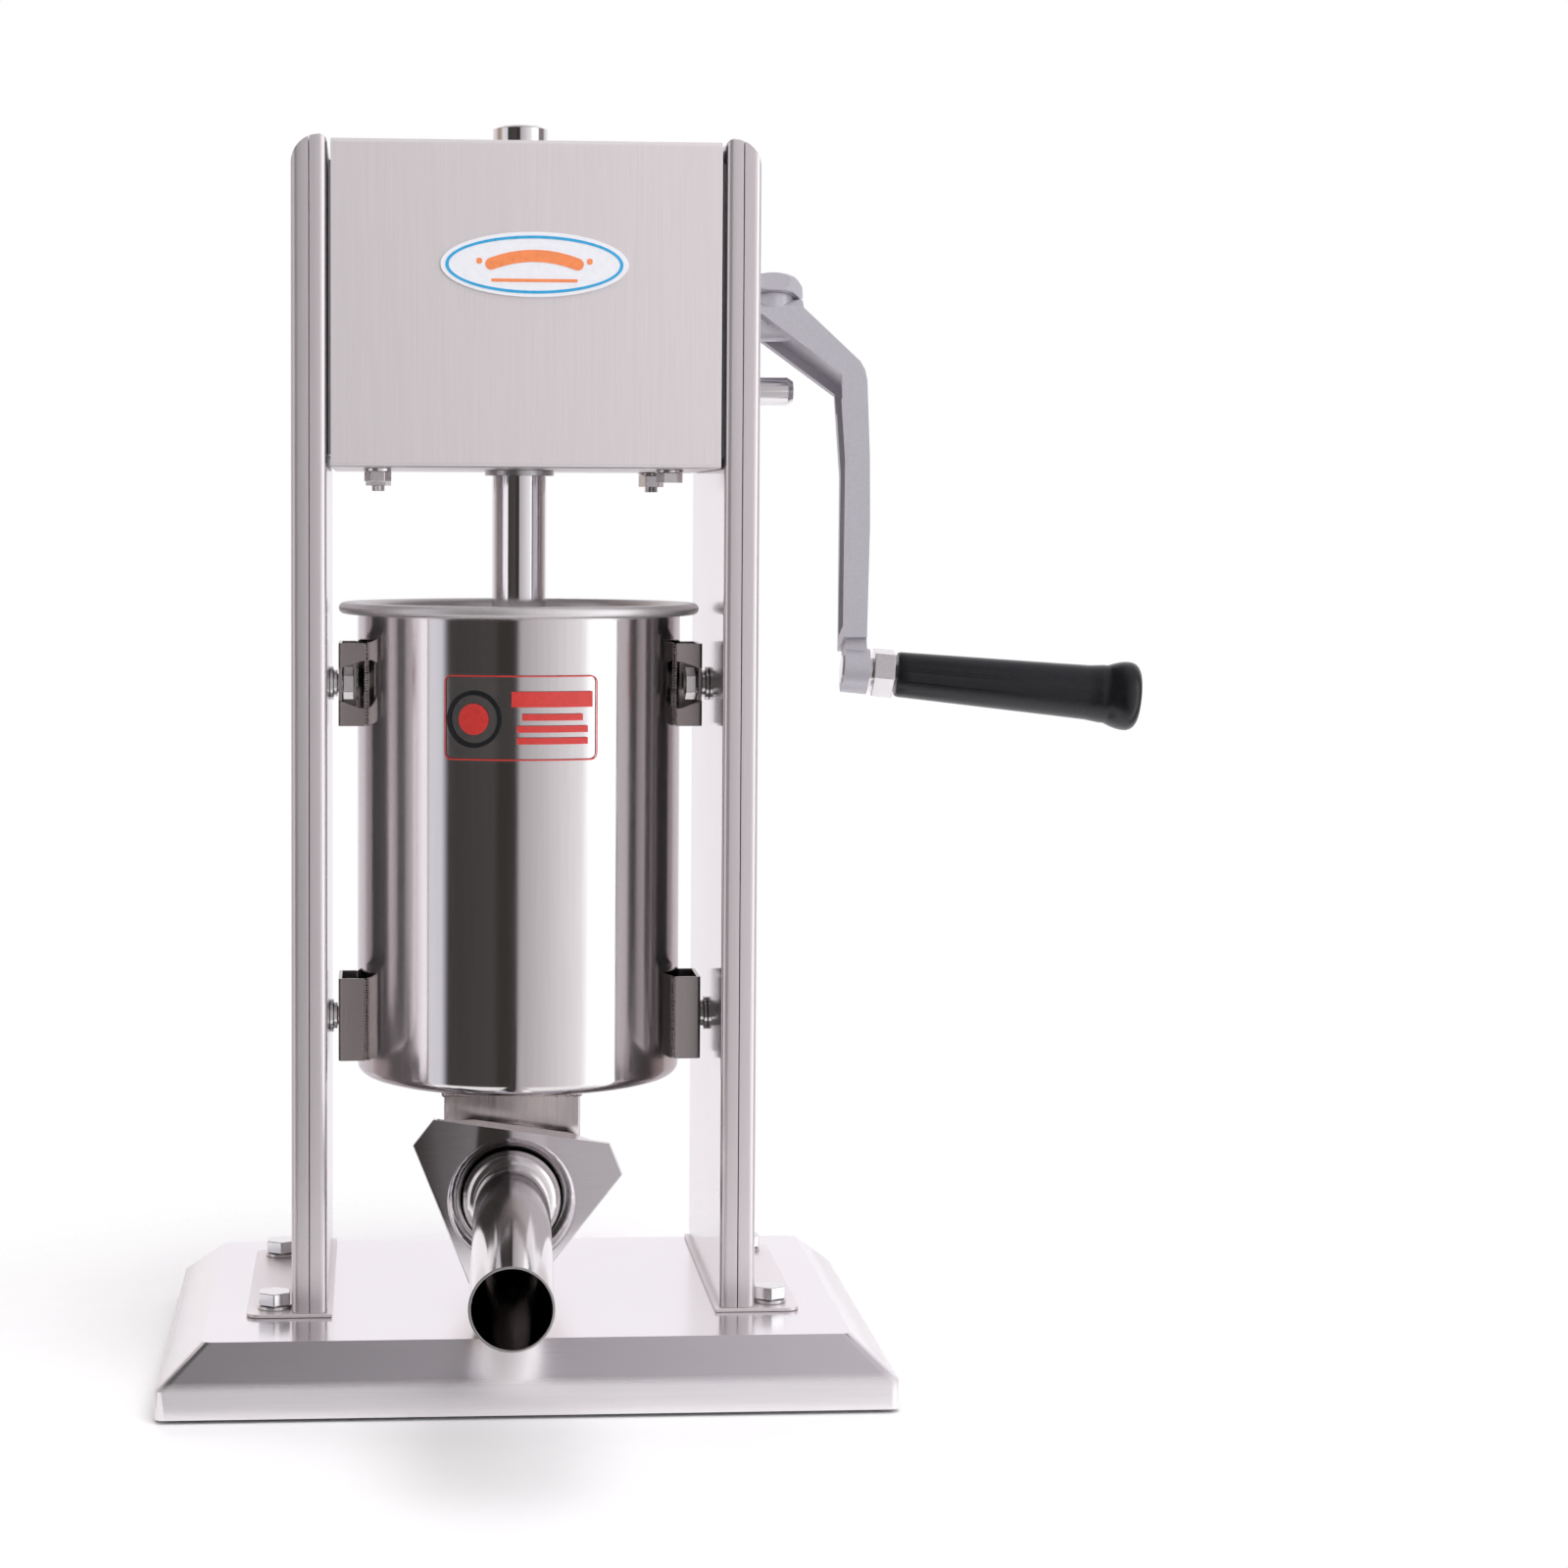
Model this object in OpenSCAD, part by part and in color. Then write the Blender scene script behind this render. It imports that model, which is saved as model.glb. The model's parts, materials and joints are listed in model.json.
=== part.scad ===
// Upright hand-cranked sausage stuffer: folded steel frame, two-stage gearbox, round rack,
// piston, hanging canister with outlet, stuffing tube and winged nut.
// Millimetres. Z is up, -Y is the front, the origin is on the bench under the canister axis.

/* [Base] */
// width of the folded base pan over its skirts
base_w = 303; // [297:1:309]
// depth of the base pan over its skirts
base_d = 221; // [217:1:225]
// height of the flat deck above the bench
base_h = 28.6; // [27.6:0.2:29.6]
// radius of each rubber foot at the bench
foot_r = 12; // [10:0.5:14]

/* [Frame] */
// height of the column tops
column_top = 523; // [520:0.5:526]
// sheet thickness of the frame and base
sheet = 1.5; // [1.2:0.1:1.5]
// radius of the rounded top corner of each column
top_bend = 12; // [8:0.5:12]

/* [Canister] */
// inside radius of the canister
bore_r = 70; // [69.5:0.1:70]
// height of the rolled rim above the bench
rim_top = 327.7; // [324:0.5:332]
// outside radius of the rolled rim
rim_r = 79.2; // [78:0.2:80]
// how far the outlet is turned about the canister axis, in degrees
outlet_turn = 2.2; // [0:0.2:3]

/* [Tube] */
// outside radius of the stuffing tube
tube_r = 16; // [14:0.5:17]
// distance from the canister axis to the mouth of the tube
tube_reach = 264; // [235:1:270]

/* [Crank] */
// swing of the crank towards the front, in degrees
crank_swing = 20; // [0:1:30]
// radius of the grip's rounded end
grip_end_r = 14.9; // [13:0.1:16]
// length of the grip
grip_len = 106; // [96:1:116]

/* [Rack] */
// height of the top of the rack rod
rod_top = 535.5; // [531:0.5:540]
// underside of the piston above the bench
piston_z = 126.5; // [126:0.5:130]

/* [Hidden] */
$fn = 48;
clear = 0.3;
run = 0.05;

column_out = 98;
column_mid = 90.5;
column_in = 83;
column_y0 = -75;
column_y1 = 69;
seam_gap = 0.4;
fold_r = 3;
block_x0 = 71;
block_x1 = 82.8;
shaft_end = 82.6;
collar_x = 62.6;
block_screw_y = [-46, 52];
block_screw_z = [402, 504];
foot_plate_t = 1.5;
deck_z = base_h;
column_z0 = deck_z + foot_plate_t + 0.2;
pan_y0 = -133;
pan_y1 = pan_y0 + base_d;
bevel_w = 18;
skirt_h = 13.1;
skirt_z = 1.5;

bolt_x = 105.4;
bolt_y = [-64, 35];

cover_x = 81.5;
cover_z0 = 385.7;
cover_z1 = 521.6;
cover_y0 = -74.8;
cover_y1 = 69;
cover_t = 1.2;
cover_bolt = [62, 48];
block_z0 = cover_z0 + cover_t + 4.2;
block_z1 = 514;

rod_r = 12;
shaft_r = 7;
seat_r = 6.4;
shaft_y = 20;
main_z = 422;
rack_m = 2;
rack_teeth = 12;
gear_m = 1.5;
gear_teeth = 30;
drive_teeth = 12;
mesh_angle = 25;
addendum = 0.8;
dedendum = 1;
backlash = 0.16;
crank_z = main_z + gear_m * (gear_teeth + drive_teeth) / 2;
rack_pitch_y = shaft_y - rack_m * rack_teeth / 2;
rack_z0 = 180;
rack_z1 = 447.5;
pin_x = [19, 58];

wall = 1;
can_z = 120;
corner_r = 5;
bead_r = 2.5;
wing_reach = 47.5;
nut_front = 75.6;
can_r = bore_r + wall;
hang_y = -10;
hang_w = 28;
hang_h = 36;
hang_z = [292.5, 146.5];
hook_x = 79;

nozzle_z = 77;
box_r = 29;
box_y = 28;
box_front = 55;
pipe_r = 25;
pipe_in = 21;
pipe_y = -63;
lip_y = -65;
flange_r = 24.4;

piston_r = 68.6;
seal_r = bore_r - 0.1;
piston_h = 15;
hub_h = 14;

knob_x = 114;
eye_x = 144.3;
eye_rho = 163.9;
grip_droop = 5.6;

steel = [0.78, 0.77, 0.78];
bright = [0.86, 0.86, 0.87];
dark_steel = [0.5, 0.5, 0.52];
cast = [0.66, 0.67, 0.7];
black = [0.05, 0.05, 0.06];
bronze = [0.72, 0.53, 0.3];

// ---- helpers ----

function arc(cx, cy, r, a0, a1, n) = [for (i = [0:n]) let (a = a0 + (a1 - a0) * i / n)
  [cx + r * cos(a), cy + r * sin(a)]];

function round_rect(x0, y0, x1, y1, r, n = 5) = concat(
  arc(x1 - r, y1 - r, r, 0, 90, n), arc(x0 + r, y1 - r, r, 90, 180, n),
  arc(x0 + r, y0 + r, r, 180, 270, n), arc(x1 - r, y0 + r, r, 270, 360, n));

// involute function in degrees
function inv(a) = tan(a) * 180 / PI - a;

// half angle of a tooth at radius r, in degrees
function tooth_half(r, m, z) = let (rb = m * z / 2 * cos(mesh_angle), rr = max(r, rb))
  90 / z - backlash / 2 / (m * z / 2) * 180 / PI + inv(mesh_angle) - inv(acos(rb / rr));

// flank radii from root to tip
function flank_r(m, z) = let (rp = m * z / 2, root = rp - dedendum * m, tip = rp + addendum * m,
  rb = max(root + 0.01, rp * cos(mesh_angle)))
  concat([root], [for (i = [0:4]) rb + (tip - rb) * i / 4]);

function gear_outline(m, z, phase) = let (radii = flank_r(m, z), n = len(radii)) [for (k = [0:z - 1])
  for (j = [0:2 * n - 1]) let (r = j < n ? radii[j] : radii[2 * n - 1 - j],
  side = j < n ? -1 : 1, a = phase + 360 * k / z + side * tooth_half(r, m, z)) [r * cos(a), r * sin(a)]];

module along_x(x0, x1) {
  translate([x0, 0, 0])
    rotate([90, 0, 90])
      linear_extrude(x1 - x0)
        children();
}

module along_y(y0, y1) {
  translate([0, y1, 0])
    rotate([90, 0, 0])
      linear_extrude(y1 - y0)
        children();
}

module along_z(z0, z1) {
  translate([0, 0, z0])
    linear_extrude(z1 - z0)
      children();
}

module cyl_x(x0, x1, r, y, z) {
  translate([x0, y, z])
    rotate([0, 90, 0])
      cylinder(h = x1 - x0, r = r);
}

module cyl_y(y0, y1, r, x, z) {
  translate([x, y0, z])
    rotate([-90, 0, 0])
      cylinder(h = y1 - y0, r = r);
}

module cyl_z(z0, z1, r, x = 0, y = 0) {
  translate([x, y, z0])
    cylinder(h = z1 - z0, r = r);
}

// prism with six flats, along Z
module hex_z(z0, z1, flats, x = 0, y = 0) {
  translate([x, y, z0])
    cylinder(h = z1 - z0, r = flats / 2 / cos(30), $fn = 6);
}

// side is -1 for the left and 1 for the right
module at_side(side) {
  if (side < 0)
    mirror([1, 0, 0])
      children();
  else
    children();
}

// parts fixed to the canister outlet, in the outlet's own straight frame
module outlet_frame() {
  rotate([0, 0, -outlet_turn])
    translate([-2.6, 0, 0])
      children();
}

// parts of the crank, built hanging straight down from the shaft axis
module crank_frame() {
  translate([0, shaft_y, crank_z])
    rotate([-crank_swing, 0, 0])
      children();
}

// parts along the drooping handle, local Z along the handle from the eye outwards
module handle_frame() {
  crank_frame()
    translate([eye_x, 0, -eye_rho])
      rotate([0, 90 + grip_droop, 0])
        children();
}

// ---- base ----

module pan_block(t) {
  x = base_w / 2 - t;
  hull() {
    along_z(skirt_h, skirt_h + 0.01)
      polygon(round_rect(-x, pan_y0 + t, x, pan_y1 - t, 4 - t));
    along_z(deck_z - t - 0.01, deck_z - t)
      polygon(round_rect(-x + bevel_w, pan_y0 + t + bevel_w, x - bevel_w, pan_y1 - t - bevel_w, 4 - t));
  }
  along_z(skirt_z - (t > 0 ? 1 : 0), skirt_h + 0.01)
    polygon(round_rect(-x, pan_y0 + t, x, pan_y1 - t, 4 - t));
}

module base_pan() {
  color(steel)
    difference() {
      pan_block(0);
      pan_block(sheet);
      for (side = [-1, 1], y = bolt_y)
        cyl_z(deck_z - 5, deck_z + 1, 4.5, side * bolt_x, y);
    }
}

module rubber_feet() {
  color(black)
    for (side = [-1, 1], y = [-100, 56])
      translate([side * 118, y, 0])
        cylinder(h = deck_z - sheet - 0.1, r1 = foot_r, r2 = foot_r - 2);
}

// ---- columns ----

// outline of one column from the front, t inside its outer surface
function column_outline(t) = let (x0 = column_in + t, x1 = column_out - t, z0 = column_z0 - (t > 0 ? 1 : 0), z1 = column_top - t)
  concat([[x0, z0], [x1, z0]], arc(x1 - top_bend + t, z1 - top_bend + t, top_bend - t, 0, 90, 8),
  arc(x0 + fold_r - t, z1 - fold_r + t, fold_r - t, 90, 180, 3));

// whole column, t inside its outer surface
module column_block(t) {
  intersection() {
    along_y(column_y0 + t, column_y1 - t)
      polygon(column_outline(t));
    along_z(column_z0 - 2, column_top)
      polygon(round_rect(column_in + t, column_y0 + t, column_out - t, column_y1 - t, fold_r - t, 4));
  }
}

// holes through a column for the gearbox block screws, countersunk in the outer half
module block_screw_holes() {
  for (y = block_screw_y, z = block_screw_z) {
    cyl_x(column_in - 1, column_out + 1, 3.3, y, z);
    translate([column_out - 3.2, y, z])
      rotate([0, 90, 0])
        cylinder(h = 3.3, r1 = 3.3, r2 = 6.6);
  }
}

module shaft_holes() {
  for (z = [main_z, crank_z])
    cyl_x(column_in - 1, column_out + 1, 8.5, shaft_y, z);
}

// half of a column between two X values, a folded channel that butts against the other half
module column_half(side, x0, x1) {
  color(steel)
    at_side(side)
      difference() {
        intersection() {
          column_block(0);
          translate([x0, column_y0 - 1, column_z0 - 1])
            cube([x1 - x0, column_y1 - column_y0 + 2, column_top - column_z0 + 2]);
        }
        column_block(sheet);
        block_screw_holes();
        if (side > 0)
          shaft_holes();
        for (z = hang_z)
          cyl_x(column_in - 1, column_mid, 6.2, hang_y, z);
      }
}

module column_outer(side) {
  column_half(side, column_mid + seam_gap / 2, column_out + 1);
}

module column_outer_left() {
  column_outer(-1);
}

module column_outer_right() {
  column_outer(1);
}

module column_inner(side) {
  column_half(side, column_in - 1, column_mid - seam_gap / 2);
}

module column_inner_left() {
  column_inner(-1);
}

module column_inner_right() {
  column_inner(1);
}

module foot_plate(side) {
  color(steel)
    at_side(side)
      difference() {
        along_z(deck_z + 0.1, deck_z + 0.1 + foot_plate_t)
          polygon(concat([[81, -76.5]], arc(112, -71.5, 5, 270, 360, 4), arc(112, 42, 5, 0, 90, 4),
            [[98, 47], [98, column_y1], [81, column_y1]]));
        for (y = bolt_y)
          cyl_z(deck_z - 1, deck_z + 4, 4.5, bolt_x, y);
      }
}

module foot_plate_left() {
  foot_plate(-1);
}

module foot_plate_right() {
  foot_plate(1);
}

module at_base_bolts() {
  for (side = [-1, 1], y = bolt_y)
    translate([side * bolt_x, y, deck_z])
      children();
}

module base_bolts() {
  color(bright)
    at_base_bolts()
      union() {
        rotate([0, 0, 30])
          hex_z(foot_plate_t + 2, foot_plate_t + 7.3, 13);
        cyl_z(-13, foot_plate_t + 2.01, 4);
      }
}

module base_washers() {
  color(bright)
    at_base_bolts()
      difference() {
        cyl_z(foot_plate_t + 0.3, foot_plate_t + 1.8, 7.2);
        cyl_z(foot_plate_t, foot_plate_t + 2, 4.3);
      }
}

module base_nuts() {
  color(bright)
    at_base_bolts()
      difference() {
        hex_z(-9, -sheet - 0.2, 13);
        cyl_z(-10, 0, 4.05);
      }
}

// ---- gearbox ----

module gearbox_cover() {
  color(steel)
    difference() {
      along_x(-cover_x, cover_x)
        difference() {
          polygon(concat(arc(cover_y0 + 2, cover_z0 + 2, 2, 180, 270, 4),
            [[cover_y1 - 1.5, cover_z0], [cover_y1 - 1.5, cover_z1]],
            arc(cover_y0 + 2, cover_z1 - 2, 2, 90, 180, 4)));
          polygon(concat(arc(cover_y0 + 2, cover_z0 + 2, 2 - cover_t, 180, 270, 4),
            [[cover_y1, cover_z0 + cover_t], [cover_y1, cover_z1 - cover_t]],
            arc(cover_y0 + 2, cover_z1 - 2, 2 - cover_t, 90, 180, 4)));
        }
      cyl_z(cover_z0 - 1, cover_z1 + 1, 14.1);
      for (sx = [-1, 1], sy = [-1, 1])
        cyl_z(cover_z0 - 1, cover_z0 + 5, 3.3, sx * cover_bolt[0], sy * cover_bolt[1]);
      for (sx = [-1, 1])
        cyl_z(cover_z0 - 1, cover_z1 + 1, 2.3, sx * 70, 60);
    }
}

module gearbox_back() {
  z0 = cover_z0 + cover_t + 0.1;
  z1 = cover_z1 - cover_t - 0.1;
  color(steel)
    difference() {
      along_x(-cover_x + 0.3, cover_x - 0.3)
        polygon([[cover_y1, z0], [cover_y1, z1], [54, z1], [54, z1 - cover_t], [cover_y1 - cover_t, z1 - cover_t],
          [cover_y1 - cover_t, z0 + cover_t], [66, z0 + cover_t], [66, z0]]);
      for (sx = [-1, 1])
        cyl_z(z1 - 5, z1 + 1, 2.3, sx * 70, 60);
    }
}

module back_screws() {
  color(bright)
    for (sx = [-1, 1])
      union() {
        cyl_z(cover_z1 + 0.1, cover_z1 + 2.3, 3.8, sx * 70, 60);
        cyl_z(cover_z1 - 6, cover_z1 + 0.2, 2, sx * 70, 60);
      }
}

module bearing_block(side) {
  color(dark_steel)
    at_side(side)
      difference() {
        along_x(block_x0, block_x1)
          polygon([[-60, block_z0], [52, block_z0], [64, 402], [64, 496], [52, block_z1], [-60, block_z1]]);
        for (z = [main_z, crank_z])
          cyl_x(block_x0 - 1, block_x1 + 1, 9.8, shaft_y, z);
        for (y = block_screw_y, z = block_screw_z)
          cyl_x(block_x0 - 1, block_x1 + 1, 3.3, y, z);
      }
}

module bearing_block_left() {
  bearing_block(-1);
}

module bearing_block_right() {
  bearing_block(1);
}

module block_screws() {
  color(bright)
    for (side = [-1, 1])
      at_side(side)
        for (y = block_screw_y, z = block_screw_z)
          union() {
            cyl_x(block_x0 + 1, column_out - 3, 3, y, z);
            translate([column_out - 3.1, y, z])
              rotate([0, 90, 0])
                cylinder(h = 3, r1 = 3, r2 = 6);
          }
}

module floor_plate() {
  color(dark_steel)
    difference() {
      along_z(cover_z0 + cover_t + 0.1, block_z0 - 0.1)
        polygon(round_rect(-cover_x + 0.3, -60, cover_x - 0.3, 52, 2, 2));
      cyl_z(380, 400, 14.1);
      for (sx = [-1, 1], sy = [-1, 1])
        cyl_z(380, 400, 3.3, sx * cover_bolt[0], sy * cover_bolt[1]);
    }
}

// the front pair points its heads down, the rear pair its threads
module cover_bolts() {
  color(bright) {
    for (sx = [-1, 1])
      union() {
        hex_z(cover_z0 - 5.6, cover_z0 - 1.5, 10, sx * cover_bolt[0], -cover_bolt[1]);
        cyl_z(cover_z0 - 2, 396, 3, sx * cover_bolt[0], -cover_bolt[1]);
      }
    for (sx = [-1, 1])
      union() {
        hex_z(block_z0 + 0.1, block_z0 + 4.1, 10, sx * cover_bolt[0], cover_bolt[1]);
        cyl_z(cover_z0 - 9, block_z0 + 1, 3, sx * cover_bolt[0], cover_bolt[1]);
      }
  }
}

module cover_washers() {
  color(bright)
    for (sx = [-1, 1], sy = [-1, 1])
      difference() {
        cyl_z(cover_z0 - 1.4, cover_z0 - 0.1, 6, sx * cover_bolt[0], sy * cover_bolt[1]);
        cyl_z(cover_z0 - 2, cover_z0, 3.3, sx * cover_bolt[0], sy * cover_bolt[1]);
      }
}

module cover_nuts() {
  color(bright) {
    for (sx = [-1, 1])
      difference() {
        hex_z(cover_z0 - 6.6, cover_z0 - 1.5, 10, sx * cover_bolt[0], cover_bolt[1]);
        cyl_z(cover_z0 - 8, cover_z0, 3.05, sx * cover_bolt[0], cover_bolt[1]);
      }
    for (sx = [-1, 1])
      difference() {
        hex_z(block_z0 + 0.1, block_z0 + 4.4, 10, sx * cover_bolt[0], -cover_bolt[1]);
        cyl_z(block_z0 - 1, block_z0 + 6, 3.05, sx * cover_bolt[0], -cover_bolt[1]);
      }
  }
}

module guide_bush_lower() {
  color(bronze)
    difference() {
      union() {
        cyl_z(cover_z0 - 2.4, cover_z0 - 0.1, 15.2);
        cyl_z(cover_z0 - 2.4, 397, 13.8);
      }
      cyl_z(380, 400, rod_r + run);
    }
}

module guide_bush_upper() {
  color(bronze)
    difference() {
      union() {
        cyl_z(cover_z1 - cover_t - 2.6, cover_z1 - cover_t - 0.1, 17);
        cyl_z(510, cover_z1 + 0.6, 13.8);
      }
      cyl_z(505, 530, rod_r + run);
    }
}

// ---- rack and gears ----

module rack_rod() {
  pitch = PI * rack_m;
  half = pitch / 4 - backlash / 2;
  tip = rack_pitch_y + addendum * rack_m;
  root = rack_pitch_y - dedendum * rack_m;
  rise = tan(mesh_angle);
  count = floor((rack_z1 - rack_z0) / pitch) - 1;
  first = main_z + pitch / 2 - pitch * floor((main_z - rack_z0 - pitch) / pitch);
  color(bright)
    difference() {
      union() {
        cyl_z(piston_z + 12, rod_top - 1.2, rod_r);
        translate([0, 0, rod_top - 1.2])
          cylinder(h = 1.2, r1 = rod_r, r2 = rod_r - 2.5);
      }
      along_x(-rod_r - 1, rod_r + 1)
        polygon(concat([[rod_r + 1, rack_z0]], [[root, rack_z0]], [for (k = [0:count - 1]) let (z = first + k * pitch)
          each [[root, z - half - (rack_pitch_y - root) * rise], [tip, z - half + (tip - rack_pitch_y) * rise],
          [tip, z + half - (tip - rack_pitch_y) * rise], [root, z + half + (rack_pitch_y - root) * rise]]],
          [[root, rack_z1], [rod_r + 1, rack_z1]]));
      cyl_z(piston_z, piston_z + 40, 5.05);
    }
}

module main_shaft() {
  color(bright)
    difference() {
      union() {
        cyl_x(-shaft_end, column_out + 0.5, shaft_r, shaft_y, main_z);
        cyl_x(column_out - 1, 120.5, seat_r, shaft_y, main_z);
        translate([120.5, shaft_y, main_z])
          rotate([0, 90, 0])
            cylinder(h = 2.5, r1 = seat_r, r2 = seat_r - 1.6);
        for (side = [-1, 1])
          at_side(side)
            cyl_x(collar_x, collar_x + 5, 9, shaft_y, main_z);
      }
      for (x = pin_x)
        cyl_y(0, 40, 2.05, x, main_z);
    }
}

module rack_pinion() {
  color(dark_steel)
    difference() {
      union() {
        along_x(-12, 12)
          translate([shaft_y, main_z])
            polygon(gear_outline(rack_m, rack_teeth, 180));
        cyl_x(11.9, 25, 9.8, shaft_y, main_z);
      }
      cyl_x(-14, 27, shaft_r + run, shaft_y, main_z);
      cyl_y(0, 40, 2.05, pin_x[0], main_z);
    }
}

module main_gear() {
  color(dark_steel)
    difference() {
      union() {
        along_x(42, 54)
          translate([shaft_y, main_z])
            polygon(gear_outline(gear_m, gear_teeth, 90));
        cyl_x(53.9, 62, 12, shaft_y, main_z);
      }
      cyl_x(40, 64, shaft_r + run, shaft_y, main_z);
      cyl_y(0, 40, 2.05, pin_x[1], main_z);
    }
}

module gear_pins() {
  color(bright) {
    cyl_y(shaft_y - 9.6, shaft_y + 9.6, 2, pin_x[0], main_z);
    cyl_y(shaft_y - 11.8, shaft_y + 11.8, 2, pin_x[1], main_z);
  }
}

module pinion_shaft() {
  color(bright)
    difference() {
      union() {
        cyl_x(-shaft_end, column_out, shaft_r, shaft_y, crank_z);
        cyl_x(column_out - 1, 126, seat_r, shaft_y, crank_z);
        along_x(41, 55)
          translate([shaft_y, crank_z])
            polygon(gear_outline(gear_m, drive_teeth, 270 + 180 / drive_teeth));
        for (side = [-1, 1])
          at_side(side)
            cyl_x(collar_x, collar_x + 5, 9, shaft_y, crank_z);
      }
      crank_frame()
        cyl_z(5, 8, 5.05, knob_x, 0);
    }
}

module shaft_bushes() {
  color(bronze)
    for (side = [-1, 1], z = [main_z, crank_z])
      at_side(side)
        difference() {
          union() {
            cyl_x(block_x0 - 2.8, block_x0 - 0.1, 12.5, shaft_y, z);
            cyl_x(block_x0 - 2.8, block_x1 - 0.1, 9.5, shaft_y, z);
          }
          cyl_x(block_x0 - 4, block_x1 + 1, shaft_r + run, shaft_y, z);
        }
}

// ---- crank ----

// outer edge of the arm, X then distance from the shaft
arm_outer = [[126.3, 0.5], [150.7, -25], [152.6, -29], [153.4, -34], [153.1, -69.7], [151.9, -101.5], [148.6, -152]];
arm_inner = [[138.4, -152], [142.8, -69.8], [142.1, -31], [107.4, -2.7]];

module arm_side() {
  polygon(concat([[101, 0.5]], arm_outer, arm_inner, [[101, -2.7]]));
}

module crank_arm() {
  color(cast)
    crank_frame()
      difference() {
        union() {
          difference() {
            intersection() {
              along_y(-16, 16)
                arm_side();
              translate([0, 0, 5])
                rotate([0, 90, 0])
                  linear_extrude(160)
                    polygon([[0, -14], [40, -13.5], [75, -12.5], [165, -10], [165, 10], [75, 12.5], [40, 13.5], [0, 14]]);
            }
            along_y(-10.5, 10.5)
              polygon([[109.1, -7.9], [113.5, -2.5], [146.2, -29.2], [146.2, -41], [138, -41]]);
          }
          cyl_z(0, 9.6, 9.5, knob_x, 0);
          cyl_x(100.2, 127, 9.4, 0, 0);
          translate([eye_x, 0, -eye_rho])
            rotate([0, 90 + grip_droop, 0])
              cyl_z(-5.4, 5.4, 9.9);
          translate([eye_x - 4.6, -7, -eye_rho + 4])
            cube([9.2, 14, 12]);
        }
        cyl_x(98, 130, seat_r + run, 0, 0);
        cyl_z(0, 12, 5.05, knob_x, 0);
        along_y(-7.5, 7.5)
          polygon([[139, -40], [149, -40], [148.7, -69.8], [147.4, -104], [144.6, -146], [131, -146], [131, -40]]);
        translate([eye_x, 0, -eye_rho])
          rotate([0, 90 + grip_droop, 0])
            cyl_z(-7, 7, 6.05);
      }
}

module crank_lock_screw() {
  color(cast)
    crank_frame()
      union() {
        intersection() {
          hex_z(9.7, 18.2, 24.2, knob_x, 0);
          translate([knob_x, 0, 0])
            rotate_extrude()
              polygon([[0, 9], [11.6, 9], [14.2, 11.4], [14.2, 16], [11.6, 18.4], [0, 18.4]]);
        }
        cyl_z(6.9, 9.8, 5, knob_x, 0);
      }
}

module handle_stud() {
  color(bright)
    handle_frame()
      union() {
        cyl_z(-6.2, 17, 6);
        cyl_z(16.9, 62, 4);
      }
}

module handle_nut() {
  color(bright)
    handle_frame()
      difference() {
        hex_z(7.4, 16.4, 19);
        cyl_z(7, 17, 6.05);
      }
}

module grip() {
  z0 = 17.8;
  z1 = z0 + grip_len;
  color(black)
    handle_frame()
      rotate_extrude()
        polygon(concat([[4.05, z0], [9.4, z0], [9.8, z0 + 1.5], [11.5, z0 + 70], [11.9, z1 - 22], [12.6, z1 - 16]],
          [for (i = [0:6]) [12.6 + (grip_end_r - 12.6) * sin(15 * i), z1 - 14 + 1.5 * i]],
          arc(grip_end_r - 4.5, z1 - 4.5, 4.5, 10, 90, 4), [[0, z1], [0, z0 + 46], [4.05, z0 + 46]]));
}

// ---- canister ----

module canister() {
  zb = rim_top - bead_r;
  xb = rim_r - bead_r;
  inside = bead_r - 1;
  color(bright)
    difference() {
      rotate_extrude($fn = 96)
        polygon(concat([[0, can_z]], arc(can_r - corner_r, can_z + corner_r, corner_r, 270, 360, 6),
          [[can_r, zb]], arc(can_r + inside, zb, inside, 180, 90, 4), arc(xb, zb, inside, 90, -90, 8),
          [[can_r + 2.2, zb - inside], [can_r + 2.2, zb - bead_r]], arc(xb, zb, bead_r, -90, 90, 8),
          arc(can_r + inside, zb, bead_r, 90, 180, 4),
          arc(can_r - corner_r, can_z + corner_r + 0.2, corner_r - 1, 0, -90, 6), [[0, can_z + 1.2]]));
      cyl_z(can_z - 1, can_z + 3, 20);
    }
}

// channel welded to the canister, open towards it, with a slot that drops over a stud
module hook(side, z, notched) {
  y0 = hang_y - hang_w / 2;
  y1 = hang_y + hang_w / 2;
  color(dark_steel)
    at_side(side)
      difference() {
        along_z(z - hang_h / 2, z + hang_h / 2)
          polygon([[60, y0], [hook_x - 1, y0], [hook_x, y0 + 1], [hook_x, y1 - 1], [hook_x - 1, y1], [60, y1],
            [60, y1 - sheet], [hook_x - sheet, y1 - sheet], [hook_x - sheet, y0 + sheet], [60, y0 + sheet]]);
        cyl_z(z - hang_h, z + hang_h, can_r + clear);
        cyl_x(hook_x - 3, hook_x + 1, 4.6, hang_y, z);
        translate([hook_x - 3, hang_y - 4.6, z - hang_h])
          cube([4, 9.2, hang_h]);
        if (notched)
          along_y(y0 - 1, y0 + 3)
            polygon([[60, z - 11], [70, z - 10], [hook_x + 1, z - 6.5], [hook_x + 1, z + 6.5], [70, z + 10], [60, z + 11]]);
      }
}

module hook_upper_left() {
  hook(-1, hang_z[0], true);
}

module hook_upper_right() {
  hook(1, hang_z[0], true);
}

module hook_lower_left() {
  hook(-1, hang_z[1], false);
}

module hook_lower_right() {
  hook(1, hang_z[1], false);
}

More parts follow.
